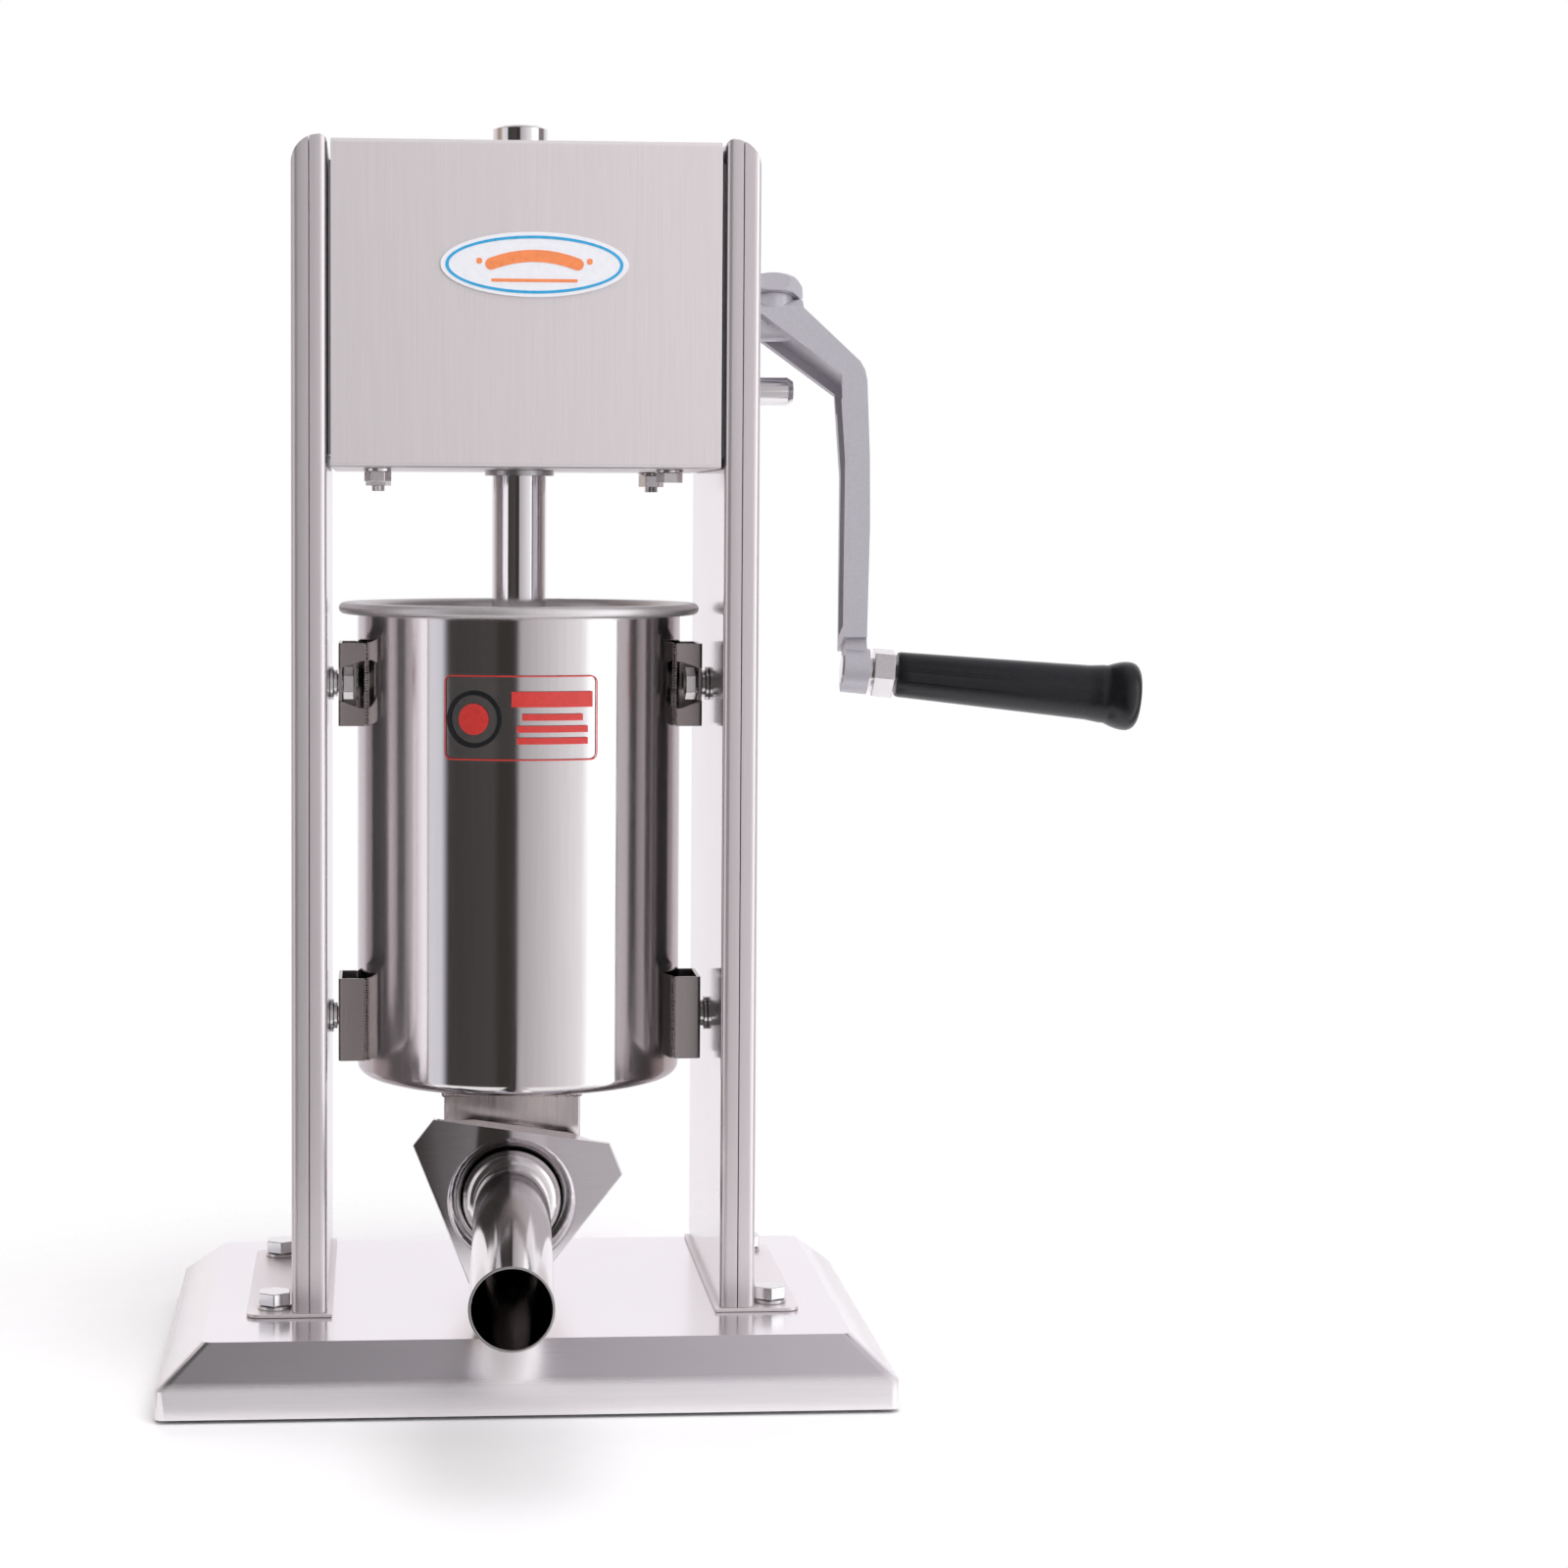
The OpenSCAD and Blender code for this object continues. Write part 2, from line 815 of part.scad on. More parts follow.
// stud through the inner half of each column, its hex head inside the hook
module hanger_studs() {
  color(bright)
    for (side = [-1, 1], z = hang_z)
      at_side(side)
        union() {
          translate([72.6, hang_y, z])
            rotate([0, 90, 0])
              hex_z(0, 4.4, 12.4);
          cyl_x(76.9, 79.7, 4.2, hang_y, z);
          cyl_x(79.6, 93.6, 5.9, hang_y, z);
          cyl_x(81.3, column_in - 0.1, 7.4, hang_y, z);
        }
}

module hanger_nuts() {
  color(bright)
    for (side = [-1, 1], z = hang_z)
      at_side(side)
        translate([column_in + sheet + 0.2, hang_y, z])
          rotate([0, 90, 0])
            difference() {
              hex_z(0, 7, 19);
              cyl_z(-1, 8, 5.95);
            }
}

// ---- outlet ----

// box section with a half-round bottom
module outlet_section(r, top) {
  union() {
    translate([0, nozzle_z])
      circle(r = r);
    translate([-r, nozzle_z])
      square([2 * r, top - nozzle_z]);
  }
}

module outlet_box() {
  color(dark_steel)
    outlet_frame()
      difference() {
        along_y(-box_front, box_y)
          outlet_section(box_r, can_z - 0.1);
        along_y(-box_front + sheet, box_y - sheet)
          outlet_section(box_r - sheet, can_z + 1);
        cyl_y(-box_front - 1, -box_front + 3, pipe_in, 0, nozzle_z);
      }
}

module nozzle_pipe() {
  color(dark_steel)
    outlet_frame()
      difference() {
        cyl_y(pipe_y, -box_front - 0.1, pipe_r, 0, nozzle_z);
        cyl_y(pipe_y - 1, -box_front + 1, pipe_in, 0, nozzle_z);
      }
}

module stuffing_tube() {
  y1 = -pipe_y + 0.2;
  r_in = tube_r - 1;
  color(bright)
    outlet_frame()
      translate([0, 0, nozzle_z])
        rotate([90, 0, 0])
          rotate_extrude($fn = 64)
            polygon(concat([[flange_r - 3.4, y1], [flange_r, y1], [flange_r, y1 + 1.4], [22.4, y1 + 1.4]],
              [for (i = [0:6]) let (t = i / 6) [22.4 - (22.4 - tube_r) * (1 - cos(90 * t)), y1 + 1.4 + 13 * sin(90 * t)]],
              [[tube_r, tube_reach], [r_in, tube_reach]],
              [for (i = [6:-1:0]) let (t = i / 6) [21 - (21 - r_in) * (1 - cos(90 * t)), y1 + 0.2 + 13 * sin(90 * t)]]));
}

// three cut-off wings around a round collar
module wing_plan(reach, half) {
  polygon([for (k = [0:2]) for (s = [-1, 1]) let (a = 30 + 120 * k)
    [reach * cos(a) + s * -half * sin(a), reach * sin(a) + s * half * cos(a)]]);
}

module wing_nut() {
  color(dark_steel)
    outlet_frame()
      translate([0, 0, nozzle_z])
        rotate([90, 0, 0])
          difference() {
            union() {
              cyl_z(box_front + 1.2, nut_front, 29);
              intersection() {
                along_z(61, nut_front)
                  rotate(-8)
                    wing_plan(wing_reach, 7);
                rotate_extrude()
                  polygon([[0, 62], [36, 62], [42.4, nut_front - 4], [wing_reach + 1, nut_front - 4],
                    [wing_reach + 1, nut_front + 1], [0, nut_front + 1]]);
              }
            }
            cyl_z(box_front, -lip_y, pipe_r + run);
            cyl_z(60, nut_front + 1, 23.4);
            translate([0, 0, nut_front - 4.5])
              cylinder(h = 4.6, r1 = 23.4, r2 = 26.8);
          }
}

// ---- piston ----

module piston_body() {
  color(bright)
    difference() {
      union() {
        translate([0, 0, piston_z])
          cylinder(h = 2, r1 = piston_r - 2, r2 = piston_r, $fn = 96);
        cyl_z(piston_z + 1.9, piston_z + piston_h, piston_r, $fn = 96);
        cyl_z(piston_z + piston_h - 1, piston_z + piston_h + hub_h, 20);
      }
      difference() {
        cyl_z(piston_z + 3, piston_z + 12, 72, $fn = 96);
        cyl_z(piston_z + 2, piston_z + 13, 64.2, $fn = 96);
      }
      cyl_z(piston_z + 12, piston_z + piston_h + hub_h + 1, rod_r + run);
      cyl_z(piston_z - 1, piston_z + 13, 5.4);
      cyl_z(piston_z - 1, piston_z + 8, 11);
      cyl_z(piston_z - 1, piston_z + piston_h + 1, 8.3, 42, 0);
    }
}

module piston_seal() {
  color([0.85, 0.85, 0.84])
    difference() {
      cyl_z(piston_z + 3.2, piston_z + 11.8, seal_r, $fn = 96);
      cyl_z(piston_z + 3, piston_z + 12, 64.5, $fn = 96);
    }
}

module piston_washer() {
  color(bright)
    difference() {
      cyl_z(piston_z + 6.3, piston_z + 7.9, 10.5);
      cyl_z(piston_z + 6, piston_z + 8, 5.4);
    }
}

module piston_bolt() {
  color(bright)
    difference() {
      union() {
        cyl_z(piston_z + 0.2, piston_z + 6.2, 8);
        cyl_z(piston_z + 6.1, piston_z + 38, 5);
      }
      hex_z(piston_z - 1, piston_z + 4, 8);
    }
}

module valve_body() {
  color(bronze)
    difference() {
      union() {
        cyl_z(piston_z + 0.5, piston_z + piston_h + 0.2, 8, 42, 0);
        hex_z(piston_z + piston_h + 0.2, piston_z + piston_h + 4.2, 18, 42, 0);
      }
      cyl_z(piston_z - 1, piston_z + piston_h + 5, 3.3, 42, 0);
      cyl_z(piston_z - 1, piston_z + 4, 5.6, 42, 0);
    }
}

// hangs from its cap and seals the small bore until trapped air lifts it
module valve_plunger() {
  top = piston_z + piston_h + 4.3;
  color(bright)
    union() {
      cyl_z(piston_z + 4.6, top, 2.9, 42, 0);
      cyl_z(top, top + 2.4, 5.5, 42, 0);
    }
}

// ---- badge and label ----

module badge() {
  color([0.93, 0.94, 0.95])
    translate([3, cover_y0 - 0.1, 470])
      rotate([90, 0, 0])
        scale([1.45, 0.5, 1])
          cylinder(h = 0.7, r = 27, $fn = 64);
}

module caution_label() {
  r = can_r + clear;
  color([0.82, 0.8, 0.8])
    intersection() {
      difference() {
        cyl_z(250, 300, r + 0.3, $fn = 96);
        cyl_z(249, 301, r, $fn = 96);
      }
      along_y(-80, -20)
        polygon(round_rect(-34.5, 262.3, 31.2, 299.3, 3, 3));
    }
}

base_pan();
rubber_feet();
column_outer_left();
column_outer_right();
column_inner_left();
column_inner_right();
foot_plate_left();
foot_plate_right();
base_bolts();
base_washers();
base_nuts();
gearbox_cover();
gearbox_back();
back_screws();
bearing_block_left();
bearing_block_right();
block_screws();
floor_plate();
cover_bolts();
cover_washers();
cover_nuts();
guide_bush_lower();
guide_bush_upper();
rack_rod();
main_shaft();
main_gear();
rack_pinion();
gear_pins();
pinion_shaft();
shaft_bushes();
crank_arm();
crank_lock_screw();
handle_stud();
handle_nut();
grip();
canister();
hook_upper_left();
hook_upper_right();
hook_lower_left();
hook_lower_right();
hanger_studs();
hanger_nuts();
outlet_box();
nozzle_pipe();
stuffing_tube();
wing_nut();
piston_body();
piston_seal();
piston_washer();
piston_bolt();
valve_body();
valve_plunger();
badge();
caution_label();
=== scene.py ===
import json
import math
import random

import bmesh
import bpy
from mathutils import Matrix, Vector

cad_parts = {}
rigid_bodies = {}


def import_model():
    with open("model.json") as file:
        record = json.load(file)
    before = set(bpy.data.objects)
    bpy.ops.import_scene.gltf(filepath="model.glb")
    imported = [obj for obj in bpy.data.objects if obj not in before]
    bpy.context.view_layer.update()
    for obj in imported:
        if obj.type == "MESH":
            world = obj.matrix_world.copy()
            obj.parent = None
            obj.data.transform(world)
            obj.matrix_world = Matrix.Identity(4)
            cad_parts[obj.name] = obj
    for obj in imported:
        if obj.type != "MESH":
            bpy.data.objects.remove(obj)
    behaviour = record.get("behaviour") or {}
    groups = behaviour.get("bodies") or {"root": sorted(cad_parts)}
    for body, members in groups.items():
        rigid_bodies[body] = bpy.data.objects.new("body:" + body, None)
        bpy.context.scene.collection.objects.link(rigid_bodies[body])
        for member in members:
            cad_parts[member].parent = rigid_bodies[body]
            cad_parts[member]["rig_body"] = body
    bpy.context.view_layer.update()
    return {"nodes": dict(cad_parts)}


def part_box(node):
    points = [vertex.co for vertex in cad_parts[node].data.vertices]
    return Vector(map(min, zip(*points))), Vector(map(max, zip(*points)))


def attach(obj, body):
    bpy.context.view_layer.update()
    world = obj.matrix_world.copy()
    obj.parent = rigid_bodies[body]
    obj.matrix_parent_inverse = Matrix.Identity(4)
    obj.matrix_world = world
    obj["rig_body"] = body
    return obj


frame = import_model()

NODES = frame["nodes"]
MM = 0.001
random.seed(7)

# camera, in metres and degrees
CAMERA_PLACE = (-0.0585, -1.436, 0.365)
CAMERA_YAW = 4.24
CAMERA_PITCH = 3.02
CAMERA_ROLL = 0.253
CAMERA_LENS = 74.8
CAMERA_SHIFT = (0.10, -0.06)

# table, in metres
FLOOR_PLACE = (0, -0.03, -0.0002)
FLOOR_RADIUS = 0.40
FLOOR_FADE = (0.20, 0.385)

# colour all round the object: degrees from the front, positive towards the crank side
WORLD_RING = [
    # behind and left, with a warm flag beside the canister
    (-180, (1.02, 0.99, 1.03)),
    (-125, (0.80, 0.72, 0.70)),
    (-106, (0.40, 0.32, 0.28)),
    (-92, (0.46, 0.37, 0.32)),
    # soft panel at the front left
    (-83, (0.78, 0.70, 0.66)),
    (-79, (0.86, 0.83, 0.86)),
    (-59, (0.78, 0.77, 0.84)),
    # dark flag
    (-54, (0.055, 0.05, 0.05)),
    (-20, (0.075, 0.068, 0.066)),
    (-16, (0.045, 0.04, 0.036)),
    (-3.4, (0.045, 0.04, 0.038)),
    # grey wall, then the bright panel at the front right
    (-1.4, (0.50, 0.47, 0.49)),
    (14, (0.66, 0.62, 0.64)),
    (44, (0.98, 0.95, 0.97)),
    (52, (1.6, 1.6, 1.64)),
    (76, (1.6, 1.6, 1.64)),
    # dark flag beside the right column, and round to the back
    (84, (0.30, 0.27, 0.27)),
    (108, (0.24, 0.21, 0.21)),
    (122, (0.80, 0.77, 0.79)),
    (150, (1.0, 0.97, 1.01)),
    (180, (1.02, 0.99, 1.03)),
]
# colour overhead, from 0 at the left to 1 at the right, and the heights between which it takes over
WORLD_OVERHEAD = [(0.1, (0.045, 0.04, 0.042)), (0.55, (0.24, 0.225, 0.24)), (0.9, (0.56, 0.53, 0.57))]
OVERHEAD_SPREAD = 2.5
OVERHEAD_FROM = 0.45
OVERHEAD_TO = 0.8

# outlet of the canister, turned about the canister axis, in mm and degrees
OUTLET_TURN = -2.2
OUTLET_SHIFT = 2.6
OUTLET_Z = 77
OUTLET_FRONT = 55
OUTLET_BACK = 28
OUTLET_HALF = 29

# canister wall where the label and the hooks sit, in mm
LABEL_RADIUS = 71.62
HOOK_WALL = 71.3

# thickness of the raised artwork, in mm
BADGE_RAISE = 0.12
LABEL_RAISE = 0.05


def body_of(node):
    return NODES[node]["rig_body"]


def box_mm(node):
    low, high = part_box(node)
    return low / MM, high / MM


# ---------------------------------------------------------------- camera, world and floor

def make_camera():
    yaw, pitch, roll = (math.radians(a) for a in (CAMERA_YAW, CAMERA_PITCH, CAMERA_ROLL))
    forward = Vector((math.sin(yaw) * math.cos(pitch), math.cos(yaw) * math.cos(pitch), -math.sin(pitch)))
    level_right = Vector((math.cos(yaw), -math.sin(yaw), 0))
    level_up = level_right.cross(forward)
    right = level_right * math.cos(roll) + level_up * math.sin(roll)
    up = level_up * math.cos(roll) - level_right * math.sin(roll)
    cam = bpy.data.objects.new("camera", bpy.data.cameras.new("camera"))
    cam.data.lens = CAMERA_LENS
    cam.data.sensor_width = 36
    cam.data.shift_x, cam.data.shift_y = CAMERA_SHIFT
    cam.data.clip_start, cam.data.clip_end = 0.01, 50
    cam.matrix_world = Matrix((
        (right.x, up.x, -forward.x, CAMERA_PLACE[0]),
        (right.y, up.y, -forward.y, CAMERA_PLACE[1]),
        (right.z, up.z, -forward.z, CAMERA_PLACE[2]),
        (0, 0, 0, 1)))
    bpy.context.scene.collection.objects.link(cam)
    bpy.context.scene.camera = cam


class Graph:
    """Short calls for a node tree."""

    def __init__(self, tree):
        self.tree = tree
        tree.nodes.clear()

    def add(self, kind, inputs=(), **settings):
        node = self.tree.nodes.new(kind)
        for key, value in settings.items():
            setattr(node, key, value)
        for key, value in dict(inputs).items():
            if isinstance(value, bpy.types.NodeSocket):
                self.tree.links.new(value, node.inputs[key])
            else:
                node.inputs[key].default_value = value
        return node

    def math(self, operation, a, b=0.0, clamp=False):
        return self.add("ShaderNodeMath", {0: a, 1: b}, operation=operation, use_clamp=clamp).outputs[0]

    def mix(self, factor, a, b):
        node = self.add("ShaderNodeMix", {"Factor": factor}, data_type="RGBA")
        for index, value in ((6, a), (7, b)):
            if isinstance(value, bpy.types.NodeSocket):
                self.tree.links.new(value, node.inputs[index])
            else:
                node.inputs[index].default_value = (*value, 1)
        return node.outputs[2]

    def ramp(self, factor, stops):
        node = self.add("ShaderNodeValToRGB", {"Fac": factor})
        node.color_ramp.interpolation = "LINEAR"
        ramp = node.color_ramp.elements
        while len(ramp) < len(stops):
            ramp.new(0.5)
        for element, (position, value) in zip(ramp, stops):
            element.position = position
            element.color = (*value, 1) if isinstance(value, tuple) else (value, value, value, 1)
        return node.outputs["Color"]

    def noise(self, vector, scale, detail, roughness=0.5):
        inputs = {"Vector": vector, "Scale": scale, "Detail": detail, "Roughness": roughness}
        return self.add("ShaderNodeTexNoise", inputs).outputs["Fac"]

    def map_range(self, value, low, high, **settings):
        inputs = {"Value": value, "From Min": low, "From Max": high}
        return self.add("ShaderNodeMapRange", inputs, **settings).outputs[0]


def make_world():
    """White for the camera, and for everything else a ring of soft panels and dark flags round the object."""
    world = bpy.data.worlds.new("studio")
    bpy.context.scene.world = world
    world.use_nodes = True
    g = Graph(world.node_tree)
    direction = g.add("ShaderNodeTexCoord").outputs["Generated"]
    x, y, z = g.add("ShaderNodeSeparateXYZ", {0: direction}).outputs
    azimuth = g.math("ARCTAN2", x, g.math("MULTIPLY", y, -1.0))
    turn = g.math("ADD", g.math("DIVIDE", azimuth, 2 * math.pi), 0.5)
    ring = g.ramp(turn, [((angle + 180) / 360, color) for angle, color in WORLD_RING])
    across = g.math("ADD", g.math("MULTIPLY", x, OVERHEAD_SPREAD), 0.5)
    overhead = g.ramp(across, WORLD_OVERHEAD)
    around = g.mix(g.map_range(z, OVERHEAD_FROM, OVERHEAD_TO), ring, overhead)
    seen = g.add("ShaderNodeLightPath").outputs["Is Camera Ray"]
    color = g.mix(seen, around, (1.0, 1.0, 1.0))
    background = g.add("ShaderNodeBackground", {"Color": color, "Strength": 1.0})
    g.add("ShaderNodeOutputWorld", {"Surface": background.outputs[0]})


def area_light(name, place, target, size, power):
    """A round panel that lights diffuse surfaces and isn't seen in reflections."""
    light = bpy.data.lights.new(name, "AREA")
    light.shape = "DISK"
    light.size = size
    light.energy = power
    obj = bpy.data.objects.new(name, light)
    obj.location = place
    obj.rotation_mode = "QUATERNION"
    obj.rotation_quaternion = (Vector(target) - Vector(place)).to_track_quat("-Z", "Y")
    obj.visible_glossy = False
    bpy.context.scene.collection.objects.link(obj)


def make_floor():
    """A pale table that fades out, so that its far edge never shows."""
    bm = bmesh.new()
    bmesh.ops.create_circle(bm, cap_ends=True, segments=96, radius=FLOOR_RADIUS)
    mesh = bpy.data.meshes.new("table")
    bm.to_mesh(mesh)
    bm.free()
    floor = bpy.data.objects.new("table", mesh)
    floor.location = FLOOR_PLACE
    bpy.context.scene.collection.objects.link(floor)
    mat = bpy.data.materials.new("pale_table")
    mat.use_nodes = True
    g = Graph(mat.node_tree)
    place = g.add("ShaderNodeTexCoord").outputs["Object"]
    reach = g.add("ShaderNodeVectorMath", {0: place}, operation="LENGTH").outputs["Value"]
    tone = g.mix(g.noise(place, 90.0, 4.0), (0.95, 0.95, 0.955), (0.98, 0.98, 0.985))
    look = {"Base Color": tone, "Roughness": 0.75, "Specular IOR Level": 0.1}
    surface = g.add("ShaderNodeBsdfPrincipled", look)
    clear = g.add("ShaderNodeBsdfTransparent")
    fade = g.map_range(reach, *FLOOR_FADE, interpolation_type="SMOOTHSTEP")
    mixed = g.add("ShaderNodeMixShader", {0: fade, 1: surface.outputs[0], 2: clear.outputs[0]})
    g.add("ShaderNodeOutputMaterial", {"Surface": mixed.outputs[0]})
    mesh.materials.append(mat)


# ---------------------------------------------------------------- materials

MATS = {}


def metal(name, color, rough, grain=(40, 40, 40), streak=0.06, rough_swing=0.06, smudge=0.05, bump=0.05,
          bump_depth=0.00004, tint=None, detail=6.0, metallic=1.0, zone=None, extra=None):
    """Metal with a directional grain: grain is the noise frequency along X, Y and Z in the object's frame.

    streak and tint vary the colour, rough_swing and smudge the roughness.
    zone = (axis, (near, far), roughness, metallic) gives other values where the distance from the origin
    along that axis is under near, blending into the main ones at far.
    """
    mat = bpy.data.materials.new(name)
    mat.use_nodes = True
    g = Graph(mat.node_tree)
    place = g.add("ShaderNodeTexCoord").outputs["Object"]
    stretched = g.add("ShaderNodeMapping", {"Vector": place, "Scale": grain}).outputs[0]
    fine = g.noise(stretched, 1.0, detail, 0.7)
    broad = g.noise(place, 22.0, 3.0)
    dark = tuple(c * (1 - 2 * streak) for c in color)
    light = tuple(min(1, c * (1 + streak)) for c in color)
    tone = g.mix(g.ramp(fine, [(0.3, 0.0), (0.7, 1.0)]), dark, light)
    if tint:
        stain = g.math("MULTIPLY", g.ramp(broad, [(0.45, 0.0), (0.75, 1.0)]), smudge * 4, clamp=True)
        tone = g.mix(stain, tone, tint)
    fine_swing = g.math("MULTIPLY", g.math("SUBTRACT", fine, 0.5), 2 * rough_swing)
    broad_swing = g.math("MULTIPLY", g.math("SUBTRACT", broad, 0.5), 2 * smudge)
    roughness = g.math("ADD", g.math("ADD", fine_swing, broad_swing), rough, clamp=True)
    bumped = g.add("ShaderNodeBump", {"Height": fine, "Strength": bump, "Distance": bump_depth})
    if zone:
        axis, edge, near_rough, near_metallic = zone
        reach = g.math("ABSOLUTE", g.add("ShaderNodeSeparateXYZ", {0: place}).outputs[axis])
        blend = g.map_range(reach, *edge)
        offset = g.math("MULTIPLY", g.math("SUBTRACT", 1.0, blend), near_rough - rough)
        roughness = g.math("ADD", roughness, offset, clamp=True)
        metallic = g.math("ADD", g.math("MULTIPLY", blend, metallic - near_metallic), near_metallic)
    inputs = {"Base Color": tone, "Metallic": metallic, "Roughness": roughness, "Normal": bumped.outputs[0]}
    shader = g.add("ShaderNodeBsdfPrincipled", {**inputs, **(extra or {})})
    g.add("ShaderNodeOutputMaterial", {"Surface": shader.outputs[0]})
    MATS[name] = mat


def plain(name, color, rough, speckle=0.05, scale=400.0, bump=0.05, extra=None):
    """Plastic, rubber or enamel with a faint mottle."""
    metal(name, color, rough, grain=(scale,) * 3, streak=speckle, rough_swing=0.08, smudge=0.06,
          bump=bump, bump_depth=0.00005, metallic=0.0, detail=3.0, extra=extra)


# edges of the zones, in metres: polished inner faces of the columns, skirt of the base, rim of the canister
INNER_FACE = (0.0833, 0.0845)
SKIRT_TOP = (0.013, 0.016)
RIM_FOOT = (0.3215, 0.323)
X_AXIS, Z_AXIS = 0, 2
UPRIGHT = (2600, 2600, 26)

metal("sheet_upright", (0.88, 0.835, 0.845), 0.36, grain=UPRIGHT, streak=0.03, rough_swing=0.07, smudge=0.03,
      bump=0.08, metallic=0.6)
metal("sheet_inner", (0.78, 0.74, 0.755), 0.34, grain=UPRIGHT, streak=0.02, rough_swing=0.07, smudge=0.03,
      bump=0.08, metallic=0.75, zone=(X_AXIS, INNER_FACE, 0.13, 0.82))
metal("sheet_column", (0.78, 0.74, 0.755), 0.34, grain=UPRIGHT, streak=0.03, rough_swing=0.07, smudge=0.03,
      bump=0.08, metallic=0.75)
metal("sheet_flat", (0.87, 0.845, 0.86), 0.19, grain=(22, 2200, 2200), streak=0.025, rough_swing=0.06,
      smudge=0.03, bump=0.08, metallic=0.93, zone=(Z_AXIS, SKIRT_TOP, 0.34, 0.62))
metal("canister_steel", (0.76, 0.74, 0.74), 0.40, grain=(500, 500, 14), streak=0.02, rough_swing=0.05,
      smudge=0.04, bump=0.05, metallic=0.72, zone=(Z_AXIS, RIM_FOOT, 0.10, 1.0))
metal("rod_chrome", (0.80, 0.79, 0.80), 0.08, grain=(900, 900, 60), streak=0.015, rough_swing=0.04,
      smudge=0.02, bump=0.03)
metal("tube_steel", (0.78, 0.76, 0.76), 0.10, grain=(700, 30, 700), streak=0.03, rough_swing=0.05,
      smudge=0.05, bump=0.05)
metal("welded_steel", (0.86, 0.80, 0.78), 0.22, grain=(600, 600, 60), streak=0.06, rough_swing=0.08,
      smudge=0.08, bump=0.08, tint=(0.72, 0.57, 0.49))
metal("hook_steel", (0.44, 0.41, 0.40), 0.22, grain=(900, 900, 30), streak=0.03, rough_swing=0.05,
      smudge=0.06, bump=0.03, tint=(0.34, 0.28, 0.25))
metal("nut_steel", (0.80, 0.78, 0.80), 0.055, grain=(90, 90, 900), streak=0.02, rough_swing=0.015,
      smudge=0.015, bump=0.01)
metal("bead_steel", (0.66, 0.61, 0.59), 0.25, grain=(1500, 1500, 1500), streak=0.25, rough_swing=0.2,
      smudge=0.1, bump=0.5, tint=(0.25, 0.2, 0.18))
metal("cast_aluminium", (0.60, 0.59, 0.635), 0.43, grain=(900, 900, 900), streak=0.05, rough_swing=0.06,
      smudge=0.06, bump=0.25, bump_depth=0.0001, tint=(0.52, 0.48, 0.49), metallic=0.7)
metal("bright_fastener", (0.80, 0.79, 0.79), 0.17, grain=(700, 700, 700), streak=0.05, rough_swing=0.08,
      smudge=0.06, bump=0.08)
metal("machined_alloy", (0.70, 0.70, 0.72), 0.32, grain=(40, 1500, 1500), streak=0.05, bump=0.1)
metal("gear_steel", (0.45, 0.45, 0.47), 0.3, grain=(60, 1200, 1200), streak=0.08, bump=0.15,
      tint=(0.25, 0.2, 0.15))
metal("bronze", (0.70, 0.50, 0.26), 0.3, grain=(900, 900, 90), streak=0.08, bump=0.1, tint=(0.4, 0.26, 0.12))
plain("grip_black", (0.006, 0.006, 0.008), 0.30, speckle=0.15, scale=260.0, bump=0.03,
      extra={"Coat Weight": 0.05, "Coat Roughness": 0.12})
plain("foot_rubber", (0.025, 0.025, 0.026), 0.7, speckle=0.2, bump=0.3)
plain("silicone", (0.80, 0.80, 0.78), 0.45, speckle=0.03, bump=0.1)
plain("badge_white", (0.80, 0.81, 0.85), 0.22, speckle=0.02, bump=0.02)
plain("badge_blue", (0.03, 0.36, 0.66), 0.3, speckle=0.04, bump=0.02)
plain("badge_orange", (0.87, 0.26, 0.09), 0.3, speckle=0.05, bump=0.05)
plain("print_red", (0.60, 0.045, 0.04), 0.35, speckle=0.06, bump=0.02)
plain("print_dark", (0.012, 0.014, 0.016), 0.3, speckle=0.1, bump=0.02)
plain("clear_film", (0.60, 0.58, 0.60), 0.22, speckle=0.02, bump=0.01, extra={"Alpha": 0.012})


# ---------------------------------------------------------------- carried-over CAD nodes

# nodes whose broad flat faces must stay evenly shaded right up to their edges
LARGE_FLATS = {
    "base_pan", "gearbox_cover", "gearbox_back", "foot_plate_left", "foot_plate_right", "column_inner_left",
    "column_inner_right", "column_outer_left", "column_outer_right", "wing_nut", "crank_lock_screw"}

